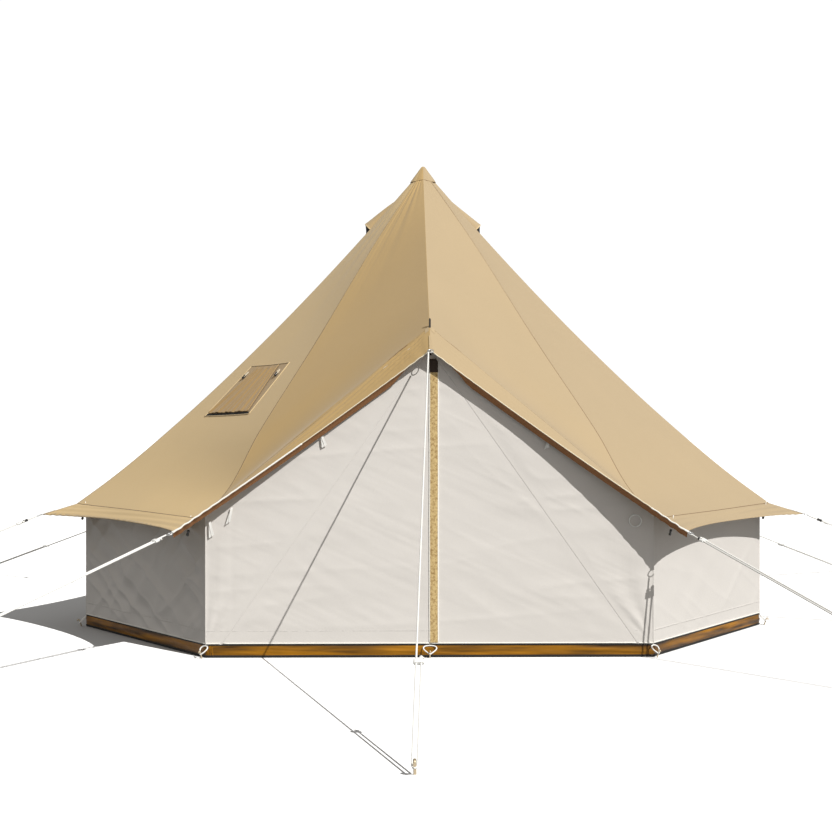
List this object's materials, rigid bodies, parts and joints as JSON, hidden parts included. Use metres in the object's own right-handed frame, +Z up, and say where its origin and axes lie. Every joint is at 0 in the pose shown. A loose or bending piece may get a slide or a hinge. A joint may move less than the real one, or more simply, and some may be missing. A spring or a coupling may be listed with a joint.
{
  "type": "bell tent",
  "caption": "Round canvas bell tent on a centre pole, with low walls, a framed front door under a ridge, a zipped-in groundsheet, roof vents, a stove-pipe flap and guys out to pegs.",
  "frame": {"origin": "on the ground under the centre pole, at the underside of the groundsheet", "axes": "+Z up, -Y towards the door side, +X to the right when facing the door from outside"},
  "size_m": [7.706, 8.9978, 2.9733],
  "materials": {
    "roof_canvas": "matte sandstone cotton canvas",
    "wall_canvas": "matte cream cotton canvas",
    "stove_fabric": "matte heatproof fabric",
    "mesh": "fine black insect mesh",
    "trim": "mustard coated fabric",
    "groundsheet_pvc": "mustard PVC sheet",
    "pole_steel": "galvanised",
    "peg_steel": "galvanised",
    "zip_metal": "dull",
    "foot_rubber": "matte",
    "rope": "white braided cord",
    "runner_plastic": "white",
    "webbing": "white woven webbing"
  },
  "bodies": {
    "tent": {"roof_panel_front_left": "roof_canvas", "roof_panel_left": "roof_canvas", "roof_panel_rear_left": "roof_canvas", "roof_panel_back_left": "roof_canvas", "roof_panel_back_right": "roof_canvas", "roof_panel_rear_right": "roof_canvas", "roof_panel_right": "roof_canvas", "roof_panel_front_right": "roof_canvas", "apex_cap": "roof_canvas", "vent_hood_left": "roof_canvas", "vent_hood_right": "roof_canvas", "stove_jack_patch": "stove_fabric", "vent_meshes": "mesh", "wall_left": "wall_canvas", "wall_rear_left": "wall_canvas", "wall_back_left": "wall_canvas", "wall_back_right": "wall_canvas", "wall_rear_right": "wall_canvas", "wall_right": "wall_canvas", "front_wall_left": "wall_canvas", "front_wall_right": "wall_canvas", "groundsheet": "groundsheet_pvc", "tub_sides": "groundsheet_pvc", "centre_pole_lower": "pole_steel", "centre_pole_middle": "pole_steel", "centre_pole_upper": "pole_steel", "door_frame_leg_left": "pole_steel", "door_frame_leg_right": "pole_steel", "door_frame_peak": "pole_steel", "crown_plate": "pole_steel", "centre_pole_foot": "foot_rubber", "door_frame_feet": "foot_rubber", "guy_rope_front": "rope", "guy_rope_front_left": "rope", "guy_rope_left": "rope", "guy_rope_rear_left": "rope", "guy_rope_back": "rope", "guy_rope_rear_right": "rope", "guy_rope_right": "rope", "guy_rope_front_right": "rope", "guy_rings": "peg_steel", "guy_pegs": "peg_steel", "base_pegs": "peg_steel", "base_loops": "webbing", "ties_and_toggles": "webbing"},
    "left_door": {"left_door_leaf": "wall_canvas"},
    "right_door": {"right_door_leaf": "wall_canvas", "storm_strip": "trim"},
    "door_slider": {"door_zip_slider": "zip_metal"},
    "left_hem_slider": {"left_hem_zip_slider": "zip_metal"},
    "right_hem_slider": {"right_hem_zip_slider": "zip_metal"},
    "stove_flap": {"stove_jack_flap": "stove_fabric"},
    "runner_front": {"guy_runner_front": "runner_plastic"},
    "runner_front_left": {"guy_runner_front_left": "runner_plastic"},
    "runner_left": {"guy_runner_left": "runner_plastic"},
    "runner_rear_left": {"guy_runner_rear_left": "runner_plastic"},
    "runner_back": {"guy_runner_back": "runner_plastic"},
    "runner_rear_right": {"guy_runner_rear_right": "runner_plastic"},
    "runner_right": {"guy_runner_right": "runner_plastic"},
    "runner_front_right": {"guy_runner_front_right": "runner_plastic"}
  },
  "joints": [
    {"name": "left_door_swing", "type": "hinge", "parent": "tent", "child": "left_door", "pos_m": [-1.13, -1.63227, 0], "axis": [0.5769, 0, 0.8168], "range_deg": [-95, 0]},
    {"name": "right_door_swing", "type": "hinge", "parent": "tent", "child": "right_door", "pos_m": [1.13, -1.63227, 0], "axis": [-0.5769, 0, 0.8168], "range_deg": [0, 95]},
    {"name": "door_zip", "type": "slide", "parent": "right_door", "child": "door_slider", "axis": [0, 0, 1], "range_m": [0, 1.38]},
    {"name": "left_hem_zip", "type": "slide", "parent": "left_door", "child": "left_hem_slider", "axis": [-1, 0, 0], "range_m": [0, 0.97]},
    {"name": "right_hem_zip", "type": "slide", "parent": "right_door", "child": "right_hem_slider", "axis": [1, 0, 0], "range_m": [0, 0.97]},
    {"name": "stove_flap_lift", "type": "hinge", "parent": "tent", "child": "stove_flap", "pos_m": [-0.8329, -0.67, 1.5408], "axis": [-0.4738, 0.8802, -0.0286], "range_deg": [0, 135]},
    {"name": "runner_slide_front", "type": "slide", "parent": "tent", "child": "runner_front", "axis": [-0.0389, -0.8876, -0.459], "range_m": [-0.3, 0.3]},
    {"name": "runner_slide_front_left", "type": "slide", "parent": "tent", "child": "runner_front_left", "axis": [-0.6612, -0.6846, -0.3068], "range_m": [0, 0.5]},
    {"name": "runner_slide_left", "type": "slide", "parent": "tent", "child": "runner_left", "axis": [-0.8872, -0.295, -0.3547], "range_m": [0, 0.5]},
    {"name": "runner_slide_rear_left", "type": "slide", "parent": "tent", "child": "runner_rear_left", "axis": [-0.6534, 0.715, -0.2487], "range_m": [-0.3, 0.3]},
    {"name": "runner_slide_back", "type": "slide", "parent": "tent", "child": "runner_back", "axis": [0, 0.9512, -0.3085], "range_m": [0, 0.5]},
    {"name": "runner_slide_rear_right", "type": "slide", "parent": "tent", "child": "runner_rear_right", "axis": [0.6534, 0.715, -0.2487], "range_m": [-0.3, 0.3]},
    {"name": "runner_slide_right", "type": "slide", "parent": "tent", "child": "runner_right", "axis": [0.8872, -0.295, -0.3547], "range_m": [0, 0.5]},
    {"name": "runner_slide_front_right", "type": "slide", "parent": "tent", "child": "runner_front_right", "axis": [0.5106, -0.8026, -0.3083], "range_m": [0, 0.5]}
  ]
}
